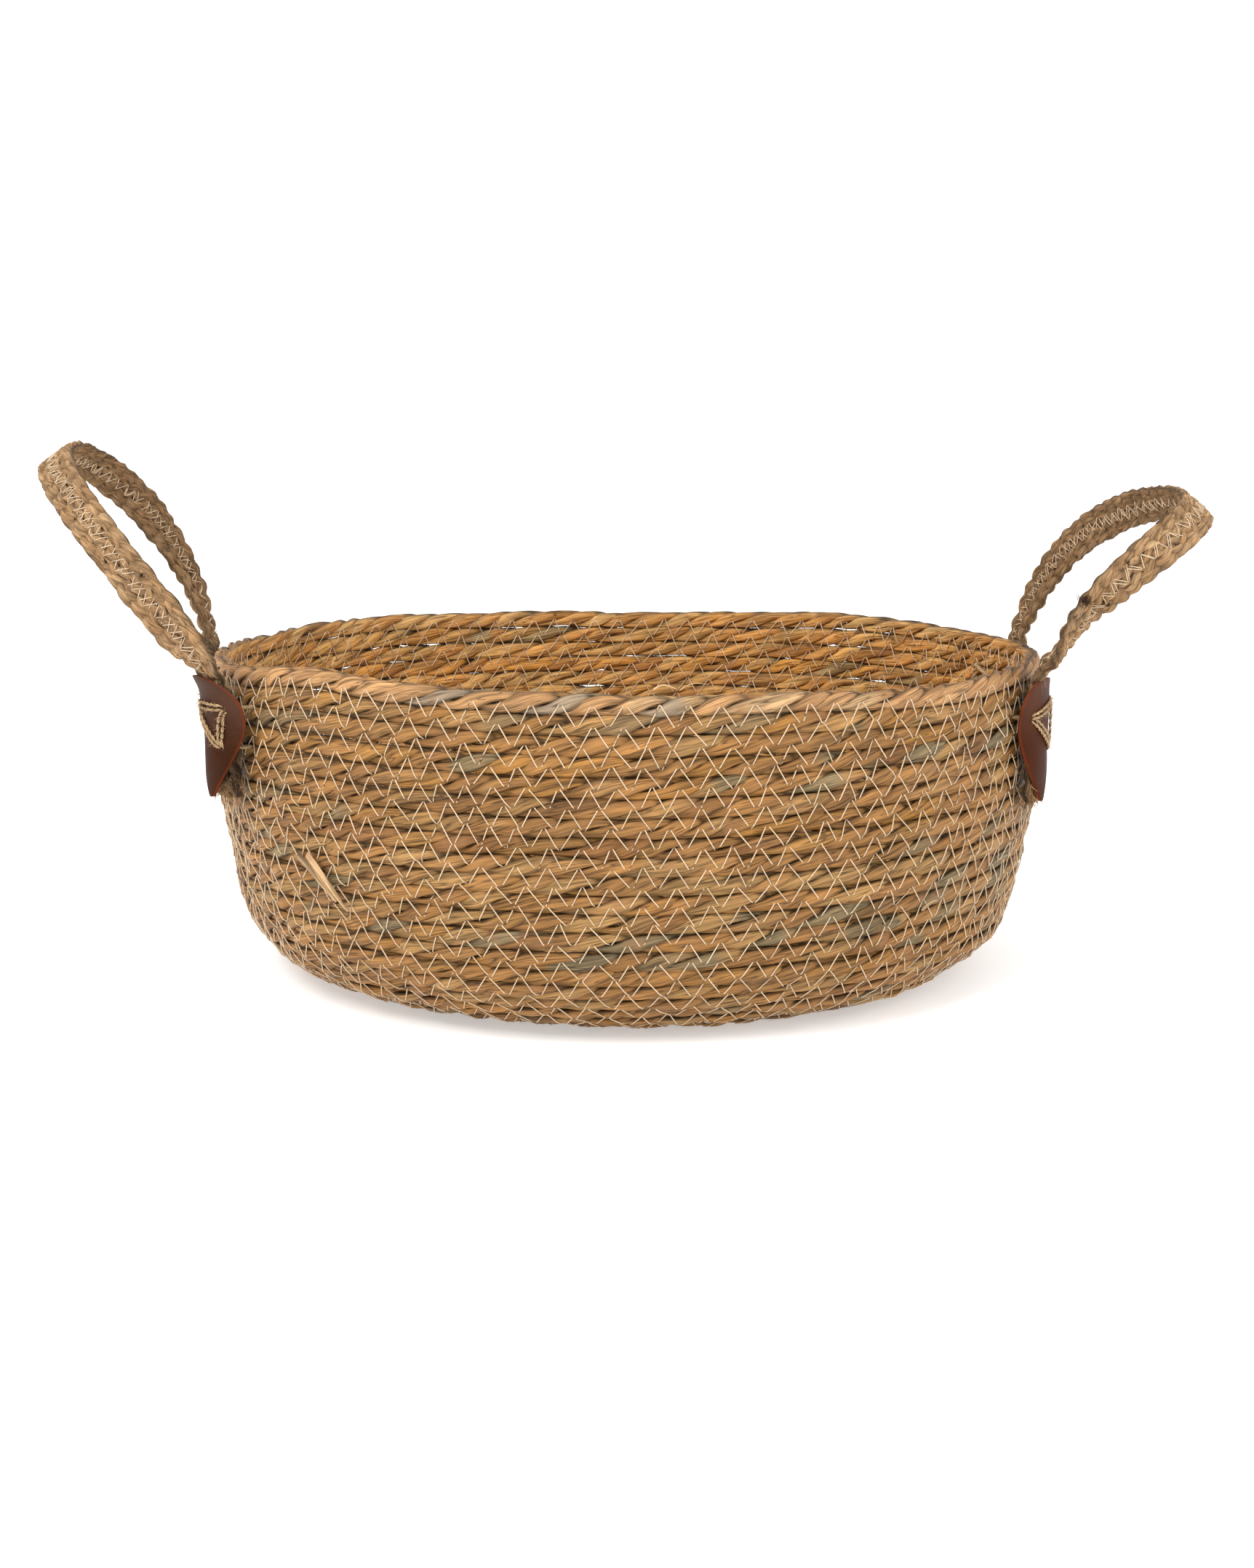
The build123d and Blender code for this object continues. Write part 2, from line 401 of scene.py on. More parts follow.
def seagrass_material():
    """Dry leaf blades: long fibres, folds, stains and a satin surface."""
    material, tree, shader, tone = toned_material("Seagrass_blades", 0.24)
    fold = fibre_noise(tree, 0.0011, 0.026)
    fine = fibre_noise(tree, 0.00028, 0.009)
    stain = spot_noise(tree, 0.009, 3.0)
    fleck = fibre_noise(tree, 0.0009, 0.004, detail=1.0)
    colour = shaded(tree, tone, fold, 0.34, 0.56, 0.60, 1.10)
    colour = shaded(tree, colour, fine, 0.32, 0.68, 0.74, 1.18)
    # Painted shade in cracks between blades, where a coarse noise crosses its middle.
    crack = fibre_noise(tree, 0.0016, 0.034, detail=1.0)
    centred = node(tree, "Math", {0: crack.outputs[0], 1: 0.5}, operation="SUBTRACT")
    apart = node(tree, "Math", {0: centred.outputs[0]}, operation="ABSOLUTE")
    colour = shaded(tree, colour, apart, 0.004, 0.030, 0.42, 1.04)
    colour = mixed(tree, ramp(tree, stain, 0.52, 0.75, 0.0, 0.55), colour, (*BROWN, 1))
    dark = ramp(tree, fleck, 0.70, 0.78, 0.0, 0.5)
    colour = mixed(tree, dark, colour, (0.10, 0.05, 0.02, 1))
    roughness = ramp(tree, fine, 0.3, 0.7, 0.66, 0.46)
    height = added(tree, fold.outputs[0], fine.outputs[0], 0.5)
    surfaced(tree, shader, colour, roughness, height, 0.75, 0.0007)
    return material


def jute_material(name, twist, depth):
    """Hairy jute yarn: slanting fibres, flecks and a dull surface."""
    material, tree, shader, tone = toned_material(name, 0.25)
    yarn = fibre_noise(tree, 0.0009, 0.010, skew=twist)
    fine = fibre_noise(tree, 0.00025, 0.0035, skew=twist)
    fleck = spot_noise(tree, 0.0016, 1.0)
    patchy = spot_noise(tree, 0.010, 2.0)
    colour = shaded(tree, tone, yarn, 0.3, 0.65, 0.55, 1.15)
    colour = shaded(tree, colour, fine, 0.3, 0.7, 0.66, 1.28)
    colour = shaded(tree, colour, patchy, 0.3, 0.7, 0.86, 1.10)
    dark = ramp(tree, fleck, 0.72, 0.78, 0.0, 0.75)
    colour = mixed(tree, dark, colour, (0.075, 0.035, 0.015, 1))
    roughness = ramp(tree, fine, 0.3, 0.7, 0.95, 0.78)
    height = added(tree, yarn.outputs[0], fine.outputs[0], 0.6)
    surfaced(tree, shader, colour, roughness, height, 0.9, depth)
    return material


def thread_material():
    """Pale two-ply sewing thread with a visible twist."""
    material, tree, shader, tone = toned_material("Sewing_thread", 0.5)
    uv = node(tree, "UVMap", uv_map="Fibre")
    split = node(tree, "SeparateXYZ", {0: uv.outputs[0]})
    around = node(tree, "Math", {0: split.outputs[0], 1: 1 / THREAD_RADIUS}, operation="MULTIPLY")
    along = node(
        tree, "Math", {0: split.outputs[1], 1: TURN / THREAD_TWIST, 2: around.outputs[0]},
        operation="MULTIPLY_ADD",
    )
    ply = node(tree, "Math", {0: along.outputs[0]}, operation="SINE")
    grain = spot_noise(tree, 0.0008)
    colour = shaded(tree, tone, ply, -1, 0.3, 0.88, 1.04)
    colour = shaded(tree, colour, grain, 0.3, 0.7, 0.88, 1.08)
    roughness = ramp(tree, grain, 0.3, 0.7, 0.62, 0.78)
    surfaced(tree, shader, colour, roughness, ply.outputs[0], 0.5, 0.0001)
    return material


def leather_material():
    """Smooth leather: fine grain, mottling and a fibrous cut edge by its tone."""
    material, tree, shader, tone = toned_material("Patch_leather", 0.035)
    place = node(tree, "TexCoord").outputs["Object"]
    grain = node(tree, "TexVoronoi", {"Vector": place, "Scale": 1500.0})
    pores = spot_noise(tree, 0.0007, 4.0)
    cloud = spot_noise(tree, 0.011, 3.0)
    colour = shaded(tree, tone, cloud, 0.3, 0.7, 0.86, 1.16)
    colour = shaded(tree, colour, pores, 0.35, 0.65, 0.90, 1.08)
    roughness = ramp(tree, cloud, 0.3, 0.7, 0.46, 0.60)
    height = added(tree, pores.outputs[0], grain.outputs["Distance"], 0.6)
    surfaced(tree, shader, colour, roughness, height, 0.22, 0.0002)
    return material


# ------------------------------------------------------------------ plaits

def plait(piece, rng, path, across, outward, phase, shape, closed, colour, cells):
    """Flat strands plaited along a path.

    shape gives, each as one number or one per point: sway (sideways travel), rise
    (travel through the thickness), lift (how much the rising strands lie on top),
    width and depth (half sizes of a strand); and strands, around (points round a
    strand), roll (how far a strand tilts at an edge), pulse (narrowing at the
    edges), wander and vary (unevenness of place and of size), straight (how straight
    the strands run), twist (turns of the ridges a metre), ridges (count and share;
    the hollows between them get painted shade), crease (how dark the painted shade
    on a strand's borders is), dark and dark_inside (how light the deep parts stay
    under painted shade on each face) and inner (colour factors of the inner face:
    painted light where they lighten it, painted shade where they darken it).
    """
    count = len(path)
    strands = shape["strands"]
    around = shape["around"]
    angle = np.arange(around) / around * TURN
    cosine = np.cos(angle)
    sine = np.sin(angle)
    flat = np.sign(sine) * np.abs(sine) ** 0.85
    waves = max(4, int(count / 14))
    for strand in range(strands):
        turn = phase + strand * TURN / strands
        turn = turn + shape["wander"] * turn_noise(rng, count, waves // 2 + 2)
        wide = 1 + shape["vary"] * turn_noise(rng, count, waves)
        deep = 1 + 0.10 * turn_noise(rng, count, waves)
        sway = shape["sway"] * (1 + shape["vary"] * 0.6 * turn_noise(rng, count, waves // 2 + 2))
        wave = np.sin(turn)
        straight = np.arcsin(wave * 0.96) / math.asin(0.96)
        wave = wave * (1 - shape["straight"]) + straight * shape["straight"]
        out = shape["rise"] * np.sin((strands - 1) * turn) + shape["lift"] * np.cos(turn)
        centre = path + across * (sway * wave)[:, None] + outward * out[:, None]
        ahead = tangents(centre, closed)
        first = square_to(across, ahead)
        second = np.cross(ahead, first)
        roll = np.sin(turn) * shape["roll"]
        e1 = first * np.cos(roll)[:, None] - second * np.sin(roll)[:, None]
        e2 = second * np.cos(roll)[:, None] + first * np.sin(roll)[:, None]
        pulse = 1 - shape["pulse"] * np.sin(turn) ** 2
        half_width = shape["width"] * wide * pulse
        half_depth = shape["depth"] * deep
        step = np.diff(centre, axis=0, append=centre[:1] if closed else centre[-1:])
        slide = shape["twist"] * np.cumsum(np.linalg.norm(step, axis=1))
        if closed:
            slide = slide / slide[-1] * max(1, round(slide[-1]))
        slide = slide * TURN + 0.8 * turn_noise(rng, count, 6)
        # The ridges swell the section; the hollows between them get painted shade in the tone.
        radius = np.ones((count, around))
        groove_shade = np.zeros((count, around))
        for number, share in shape["ridges"]:
            ridge = np.cos(number * angle[None, :] + slide[:, None] * number)
            radius += share * ridge
            groove_shade += share * np.minimum(ridge, 0) * 2.5
        points = (
            centre[:, None, :]
            + e1[:, None, :] * (half_width[:, None] * cosine[None, :] * radius)[..., None]
            + e2[:, None, :] * (half_depth[:, None] * flat[None, :] * radius)[..., None]
        )
        # Painted shade in the tone: the deep parts of each strand, its borders and the hollows
        # between its ridges are darkened. The inner face is scaled by the inner factors: painted
        # light on the basket's courses, painted shade on the straps.
        offset = ((points - path[:, None, :]) * outward[:, None, :]).sum(-1)
        depth = np.abs(offset) / (shape["rise"] + shape["depth"])[:, None]
        dark = np.where(offset < 0, shape["dark_inside"], shape["dark"])
        shade = dark + (1 - dark) * smoothstep(0.10, 0.75, depth)
        border = 1 - shape["crease"] * smoothstep(0.80, 1.0, np.abs(cosine))[None, :]
        shade = shade * border * (1 + groove_shade)
        face = np.where((offset < 0)[..., None], np.array(shape["inner"]), 1.0)
        tone = colour(rng, count)[:, None, :] * shade[..., None] * face
        start = rng.uniform(0, 5, 2)
        girth = math.pi * (shape["width"].mean() + shape["depth"].mean())
        piece.grid(points, tone, girth, start, closed, cells)


def blade_colours(rng, count, blades, weights):
    """Colours along a strand: several blades one after another, each with its own."""
    palette = np.array([STRAW, PALE_STRAW, GOLD, BROWN, GREY_GREEN])
    cuts = np.sort(rng.uniform(0, count, blades))
    which = np.searchsorted(cuts, np.arange(count)) % blades
    chosen = palette[rng.choice(len(palette), blades, p=weights)]
    chosen = chosen * rng.uniform(0.86, 1.12, (blades, 1))
    lean = palette[rng.choice(len(palette), blades, p=weights)]
    share = rng.uniform(0.0, 0.35, (blades, 1))
    chosen = chosen * (1 - share) + lean * share
    colours = chosen[which]
    colours = averaged(np.concatenate([colours[-1:], colours, colours[:1]]), 3)
    glow = 1 + 0.07 * turn_noise(rng, count, max(6, count // 25))
    return colours * glow[:, None]


def jute_colours(rng, count):
    """Colours along a jute strand: even, with paler and darker stretches."""
    share = np.clip(0.28 + 0.16 * turn_noise(rng, count, max(6, count // 12)), 0, 1)
    dark = np.clip(0.10 * turn_noise(rng, count, max(6, count // 10)), 0, 0.5)
    colours = np.array(JUTE) * (1 - share[:, None]) + np.array(JUTE_PALE) * share[:, None]
    return colours * (1 - dark[:, None])


# ------------------------------------------------------------ basket courses

def course_names():
    """Nodes of the coil, from the middle of the base up to the rim."""
    base = [f"base_course_{k:02d}" for k in range(1, BASE_COUNT + 1)]
    wall = [f"wall_course_{k:02d}" for k in range(1, WALL_COUNT + 1)]
    return base + wall + ["rim_course"]


def section_middle(name):
    """Radius and height of the middle of a ring node's section."""
    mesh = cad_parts[name].data
    points = np.empty(len(mesh.vertices) * 3)
    mesh.vertices.foreach_get("co", points)
    points = points.reshape(-1, 3)
    radius = np.hypot(points[:, 0], points[:, 1])
    return (
        (radius.min() + radius.max()) / 2,
        (points[:, 2].min() + points[:, 2].max()) / 2,
    )


def rim_wave(angle, height):
    """How far the coil is pushed up or down at a place round the basket."""
    front = (np.degrees(angle) + 90 + 180) % 360 - 180
    # azimuth from the front and half width in degrees, height in millimetres
    bumps = ((-43, 11, 4.6), (-25, 9, 1.4), (42, 14, -1.8), (142, 18, 2.4), (-138, 22, 2.5))
    wave = 0.0
    for place, width, size in bumps:
        apart = (front - place + 180) % 360 - 180
        wave = wave + size * MM * np.exp(-((apart / width) ** 2))
    return wave * smoothstep(0.085, HINGE_HEIGHT, height)


def ring_out(angle):
    """Outward directions at angles round the basket."""
    return np.stack([np.cos(angle), np.sin(angle), np.zeros_like(angle)], -1)


def course_line(rng, middles, index):
    """Centre line of a course, with its across and outward directions."""
    radius, height = middles[index]
    below = middles[max(0, index - 1)]
    above = middles[min(len(middles) - 1, index + 1)]
    lean = unit(np.array([above[0] - below[0], above[1] - below[1]]))
    count = max(60, int(TURN * radius / COURSE_STEP))
    angle = np.linspace(0, TURN, count, endpoint=False)
    calm = smoothstep(0.02, 0.08, radius)
    along_lean = 0.00022 * calm * turn_noise(rng, count, 16)
    off_lean = 0.00035 * calm * turn_noise(rng, count, 12)
    ring = radius + along_lean * lean[0] + off_lean * lean[1]
    up = height + along_lean * lean[1] - off_lean * lean[0] + rim_wave(angle, height)
    out = ring_out(angle)
    path = out * ring[:, None]
    path[:, 2] = up
    across = out * lean[0] + UP * lean[1]
    outward = out * lean[1] - UP * lean[0]
    return angle, path, across, outward


def build_course(rng, name, middles, index, material):
    """One course of the coil as a plait of three strands; returns its search tree."""
    angle, path, across, outward = course_line(rng, middles, index)
    radius = middles[index][0]
    periods = max(1, round(TURN * radius / (PLAIT_PERIOD * rng.uniform(0.92, 1.1))))
    count = len(angle)
    phase = periods * angle + rng.uniform(0, TURN)
    phase = phase + 0.35 * turn_noise(rng, count, max(3, periods))
    ones = np.ones(count)
    rim = name == "rim_course"
    size = 1.0 if radius > 0.02 else 0.9
    shape = {
        "sway": ones * 0.00222 * size,
        "rise": ones * 0.00055,
        "lift": ones * (0.00140 if rim else 0.00120),
        "width": ones * (0.00285 if rim else 0.00290) * size,
        "depth": ones * (0.00145 if rim else 0.00135),
        "strands": 3,
        "roll": 0.25,
        "pulse": 0.40,
        "straight": 0.0,
        "wander": 0.20,
        "vary": 0.10,
        "around": 16,
        "twist": 14.0,
        "ridges": ((3, 0.035), (5, 0.03)),
        # Painted shade: crease darkens the strands' borders, dark and dark_inside their deep
        # parts. Painted light: inner lightens the inner face, the wall's more than the rim's.
        "crease": 0.70,
        "dark": 0.26,
        "dark_inside": 0.50,
        "inner": (1.36, 1.28, 0.96) if rim else (1.92, 1.94, 1.84),
    }
    piece = Piece()
    blades = max(2, int(TURN * radius / 0.085))
    weights = (0.52, 0.24, 0.10, 0.04, 0.10) if rim else (0.51, 0.23, 0.13, 0.05, 0.08)
    # The wall's tone factor: partly its own yellower colour, partly painted shade that keeps the
    # wall darker than the rim; the rim keeps its tone.
    tint_and_shade = np.array((1.0, 1.0, 1.0) if rim else WALL_TINT_AND_SHADE)

    def colour(generator, number):
        return blade_colours(generator, number, blades, weights) * tint_and_shade

    cells = max(1, round(TURN * radius / 0.2))
    plait(piece, rng, path, across, outward, phase, shape, True, colour, cells)
    tree = piece.tree()
    made = piece.build("Plait_" + name, material)
    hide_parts(name)
    return tree


# ------------------------------------------------------------------ thread

def lowest_cover(heights, spots):
    """Taut line over a row of heights: the least line above them all."""
    cover = heights.copy()
    last = heights.shape[1]
    for a in range(last):
        for b in range(a + 1, last):
            for k in range(a + 1, b):
                share = (spots[k] - spots[a]) / (spots[b] - spots[a])
                chord = heights[:, a] * (1 - share) + heights[:, b] * share
                cover[:, k] = np.maximum(cover[:, k], chord)
    return cover


def surface_heights(trees, origins, directions, reach):
    """How far out along each direction the plaits' surface is, from its origin."""
    flat_origins = origins.reshape(-1, 3)
    flat_directions = directions.reshape(-1, 3)
    starts = flat_origins + flat_directions * reach
    found = np.full(len(starts), -1.0)
    for k in range(len(starts)):
        start = Vector(starts[k])
        aim = Vector(-flat_directions[k])
        for tree in trees:
            distance = tree.ray_cast(start, aim, reach * 1.3)[3]
            if distance is not None:
                found[k] = max(found[k], reach - distance)
    fallback = np.median(found[found > 0]) if (found > 0).any() else reach * 0.4
    found[found < 0] = fallback * 0.8
    return found.reshape(origins.shape[:-1])


def tube(line, radius, around=5):
    """Round tubes along many lines at once: line[k][along] gives points[k]."""
    first, second = round_directions(unit(np.gradient(line, axis=1)))
    angle = np.arange(around) / around * TURN
    radius = np.asarray(radius, float)
    radius = radius.reshape(radius.shape + (1,) * (3 - radius.ndim))
    ring = first[:, :, None, :] * np.cos(angle)[None, None, :, None]
    ring = ring + second[:, :, None, :] * np.sin(angle)[None, None, :, None]
    return line[:, :, None, :] + ring * radius[..., None]


def sew(piece, rng, trees, locate, facing, places, radius, sink):
    """Lays thread legs on a surface; places[leg][step] are (along, across) pairs.

    locate gives the origin and the outward direction of such places; facing is 1 for
    the outer face and -1 for the inner; the ends go in by sink.
    """
    origins, outward = locate(places)
    directions = outward * facing
    heights = surface_heights(trees, origins, directions, THREAD_REACH)
    spots = np.linspace(0, 1, places.shape[1])
    heights[:, 0] -= sink
    heights[:, -1] -= sink
    heights = lowest_cover(heights, spots) + radius * 0.75
    line = origins + directions * heights[..., None]
    tubes = tube(line, radius)
    brightness = rng.uniform(0.88, 1.08, len(line))
    for k in range(len(line)):
        start = (0.0, rng.uniform(0, 1))
        piece.grid(tubes[k], np.array(THREAD) * brightness[k], TURN * radius, start)


def zigzag_places(rng, ends, pitch, low, high, steps=7):
    """Legs of a zigzag seam between two ends, as places along and across.

    Along is an angle on the basket and a distance on a strap, as pitch and ends are.
    """
    legs = []
    along = ends[0]
    while along < ends[1]:
        step = pitch * rng.uniform(0.82, 1.2)
        peak = along + step * rng.uniform(0.34, 0.48)
        top = high * rng.uniform(0.86, 1.08)
        gap = pitch * rng.uniform(0.02, 0.07)
        foot = low * rng.uniform(0.86, 1.08)
        legs.append(((along, foot), (peak - gap * 0.2, top)))
        foot = low * rng.uniform(0.86, 1.08)
        legs.append(((peak + gap * 0.2, top), (along + step - gap, foot)))
        along += step
    legs = np.array(legs)
    share = np.linspace(0, 1, steps)[None, :, None]
    return legs[:, :1] * (1 - share) + legs[:, 1:] * share


def sew_seam(piece, rng, trees, middles, index, outside):
    """Zigzag thread over the seam between a course and the next, on one side."""
    low, high = middles[index], middles[index + 1]
    seam = ((low[0] + high[0]) / 2, (low[1] + high[1]) / 2)
    lean = unit(np.array([high[0] - low[0], high[1] - low[1]]))

    def locate(places):
        angle = places[..., 0]
        across = places[..., 1]
        out = ring_out(angle)
        ring = seam[0] + across * lean[0]
        origins = out * ring[..., None]
        origins[..., 2] = seam[1] + across * lean[1] + rim_wave(angle, seam[1])
        return origins, out * lean[1] - UP * lean[0]

    pitch = STITCH_PITCH / max(seam[0], 0.004)
    half = COURSE_PITCH * 0.59
    if seam[0] < 0.012:
        # The two innermost seams are too short for the machine's own pitch.
        pitch = TURN / 5
        half = COURSE_PITCH * 0.4
    places = zigzag_places(rng, (0.0, TURN - pitch * 0.4), pitch, -half, half)
    sew(piece, rng, trees, locate, 1.0 if outside else -1.0, places, THREAD_RADIUS, 0.0007)


def build_basket(grass, thread):
    """All courses and their seams."""
    names = course_names()
    middles = [section_middle(name) for name in names]
    trees = []
    for index, name in enumerate(names):
        rng = np.random.default_rng(100 + index)
        trees.append(build_course(rng, name, middles, index, grass))
    last = len(names) - 1
    groups = {
        "Seam_thread_base": range(0, BASE_COUNT),
        "Seam_thread_low": range(BASE_COUNT, BASE_COUNT + 10),
        "Seam_thread_high": range(BASE_COUNT + 10, last),
    }
    for name, seams in groups.items():
        for outside in (True, False):
            piece = Piece(cells_across=24)
            for index in seams:
                rng = np.random.default_rng(500 + index * 2 + int(outside))
                pair = trees[index:index + 2]
                sew_seam(piece, rng, pair, middles, index, outside)
            piece.build(name + ("_outside" if outside else "_inside"), thread)


# ----------------------------------------------------------------- handles

def wall_frame(side, azimuth):
    """Outward and sideways directions of the wall at an azimuth from the front."""
    turn = math.radians(azimuth)
    out = np.array([side * math.sin(turn), -math.cos(turn), 0.0])
    return out, np.array([-out[1], out[0], 0.0])


def wall_points(frame_at, away, across, up):
    """Points at distances from the axis, ways sideways and heights on a wall frame."""
    out, sideways = frame_at
    away, across, up = (np.asarray(part)[..., None] for part in (away, across, up))
    return out * away + sideways * across + UP * up


def smooth_line(points, width):
    """Points averaged three times with their neighbours, ends kept."""
    for _ in range(3):
        before = 2 * points[:1] - points[width:0:-1]
        after = 2 * points[-1:] - points[-2:-width - 2:-1]
        points = averaged(np.concatenate([before, points, after]), 2 * width + 1)
    return points


def even_line(points):
    """Points at even steps along a line of points."""
    length = lengths(points)
    spots = np.linspace(0, length[-1], max(2, int(length[-1] / STRAP_STEP)))
    return interpolated(spots, length, points)


def arch_line(handle):
    """Points of a handle's arch from root to root, as in the CAD, and its normal."""
    side = handle["side"]
    middle = (handle["near"] + handle["far"]) / 2
    half = math.radians((handle["far"] - handle["near"]) / 2)
    lean = math.radians(handle["lean"])
    out, _ = wall_frame(side, middle)
    turn = math.radians(middle)
    along = np.array([side * math.cos(turn), math.sin(turn), 0.0])
    up = out * math.sin(lean) + np.array([0, 0, math.cos(lean)])
    normal = np.cross(along, up)
    centre = out * handle["root"] * math.cos(half) + UP * HINGE_HEIGHT
    turn = np.linspace(1e-6, math.pi - 1e-6, 500)
    rise = np.sin(turn)
    near = (1 + np.cos(turn)) / 2
    bulge = handle["bulge_near"] * near + handle["bulge_far"] * (1 - near)
    power = handle["square_near"] * near + handle["square_far"] * (1 - near)
    share = rise ** power
    swell = handle["root"] * math.sin(half) + bulge * rise
    across = handle["skew"] * rise - swell * np.cos(turn)
    swept = handle["bow"] * rise * np.cos(turn) + handle["cup"] * 4 * share * (1 - share)
    line = centre + along * across[:, None] + up * (handle["height"] * share)[:, None]
    return line - normal * (side * swept)[:, None], normal


def strap_line(handle):
    """A strap from its near end over the arch to its far end, as arrays by name.

    For each point: line (its place), ahead, outward and across (directions),
    half_width, half_depth, length, and from_near and from_far (distances from the
    roots along the strap, negative on the ends under the patches).
    """
    side = handle["side"]
    near_out, _ = wall_frame(side, handle["near"])
    far_out, _ = wall_frame(side, handle["far"])
    arch, normal = arch_line(handle)
    arch = even_line(arch[arch[:, 2] > HINGE_HEIGHT + 0.006])
    heights = np.arange(handle["bottom"], HINGE_HEIGHT - 0.001, STRAP_STEP)
    away = handle["foot"] + (handle["root"] - handle["foot"]) * smoothstep(0.108, 0.132, heights)
    near_end = near_out * away[:, None] + UP * heights[:, None]
    far_end = far_out * away[:, None] + UP * heights[:, None]
    raw = np.concatenate([near_end, arch, far_end[::-1]])
    line = even_line(smooth_line(even_line(raw), 5))
    ahead = tangents(line)
    length = np.arange(len(line)) * STRAP_STEP
    root = HINGE_HEIGHT - handle["bottom"]
    from_near = length - root
    from_far = length[-1] - root - length

    # The strap lies flat on the wall at its ends and turns on edge over the arch.
    nearer = (from_near < from_far)[:, None]
    wall_out = np.where(nearer, near_out, far_out)
    share_near = smoothstep(-0.004, handle["turn_near"], from_near)
    share_far = smoothstep(-0.004, handle["turn_far"], from_far)
    flat_wall = square_to(wall_out, ahead)
    flat_arch = square_to(unit(np.cross(normal, ahead)), ahead)
    side_on = np.cross(ahead, flat_wall)
    turned = np.arctan2((flat_arch * side_on).sum(-1), (flat_arch * flat_wall).sum(-1))
    turned = turned * np.where(nearer[:, 0], share_near, share_far)
    outward = flat_wall * np.cos(turned)[:, None] + side_on * np.sin(turned)[:, None]
    outward = square_to(smooth_line(outward, 8), ahead)

    pushed = smoothstep(-0.002, 0.009, from_near) * (1 - smoothstep(0.014, 0.036, from_near))
    line = line + near_out * (pushed * handle["push"])[:, None]
    pinch = 0.0
    for key, distance in (("pinch_near", from_near), ("pinch_far", from_far)):
        pinch = pinch + handle[key] * np.exp(-(((distance - 0.002) / 0.010) ** 2))
    below = smoothstep(0.002, -0.012, np.minimum(from_near, from_far))
    half_depth = 0.0025 * (1 - below) + handle["end_depth"] * below
    return {
        "line": line,
        "ahead": ahead,
        "outward": outward,
        "across": np.cross(outward, ahead),
        "half_width": STRAP_WIDTH / 2 * (1 - pinch),
        "half_depth": half_depth + 0.0015 * pinch,
        "length": length,
        "from_near": from_near,
        "from_far": from_far,
    }


def plait_strap(name, strap, rng, material):
    """Flat jute plait of nine strands; returns its object and its search tree."""
    half_width = strap["half_width"]
    half_depth = strap["half_depth"]
    phase = strap["length"] / STRAP_PERIOD * TURN + rng.uniform(0, TURN)
    shape = {
        "strands": 9,
        "sway": half_width * 0.775,
        "rise": half_depth * 0.30,
        "lift": half_depth * 0.02,
        "width": half_width * 0.225,
        "depth": half_depth * 0.56,
        "roll": 0.0,
        "pulse": 0.0,
        "straight": 0.28,
        "wander": 0.05,
        "vary": 0.045,
        "around": 20,
        "twist": 16.0,
        "ridges": ((3, 0.09), (6, 0.06)),
        # Painted shade: crease darkens the strands' borders, dark and dark_inside their deep
        # parts, and inner the whole inner face.
        "crease": 0.42,
        "dark": 0.60,
        "dark_inside": 0.60,
        "inner": (0.74, 0.73, 0.71),
    }
    # Painted shade on the strap ends under the patches: their tone falls to half below the roots.
    above = np.minimum(strap["from_near"], strap["from_far"])
    light = 0.50 + 0.50 * smoothstep(-0.006, 0.001, above)

    def colour(generator, number):
        return jute_colours(generator, number) * light[:, None]

    piece = Piece()
    line, across, outward = strap["line"], strap["across"], strap["outward"]
    plait(piece, rng, line, across, outward, phase, shape, False, colour, 3)
    made = piece.build("Strap_" + name, material, body=None)
    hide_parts(f"handle_strap_{name}", f"strap_end_{name}_near", f"strap_end_{name}_far")
    return made, piece.tree()


def sew_strap(name, strap, rng, tree, material):
    """Double zigzag down the middle of a strap, on both faces."""
    piece = Piece(cells_across=12)
    length = strap["length"]

    def locate(places):
        spot, sideways = places[..., 0], places[..., 1]
        middle = interpolated(spot, length, strap["line"])
        across = interpolated(spot, length, strap["across"])
        width = np.interp(spot, length, strap["half_width"])
        origins = middle + across * (sideways * width)[..., None]
        return origins, interpolated(spot, length, strap["outward"])

    for facing in (1.0, -1.0):
        for shift in (0.0, 0.5):
            ends = (0.012 + shift * STRAP_STITCH_PITCH, length[-1] - 0.014)
            places = zigzag_places(rng, ends, STRAP_STITCH_PITCH, -0.35, 0.35, 6)
            places[..., 1] += 0.06 * turn_noise(rng, len(places), 9)[:, None]
            keep = rng.random(len(places)) > 0.10
            sew(piece, rng, [tree], locate, facing, places[keep], STRAP_THREAD_RADIUS, 0.0005)
    return piece.build("Strap_stitches_" + name, material, body=None)


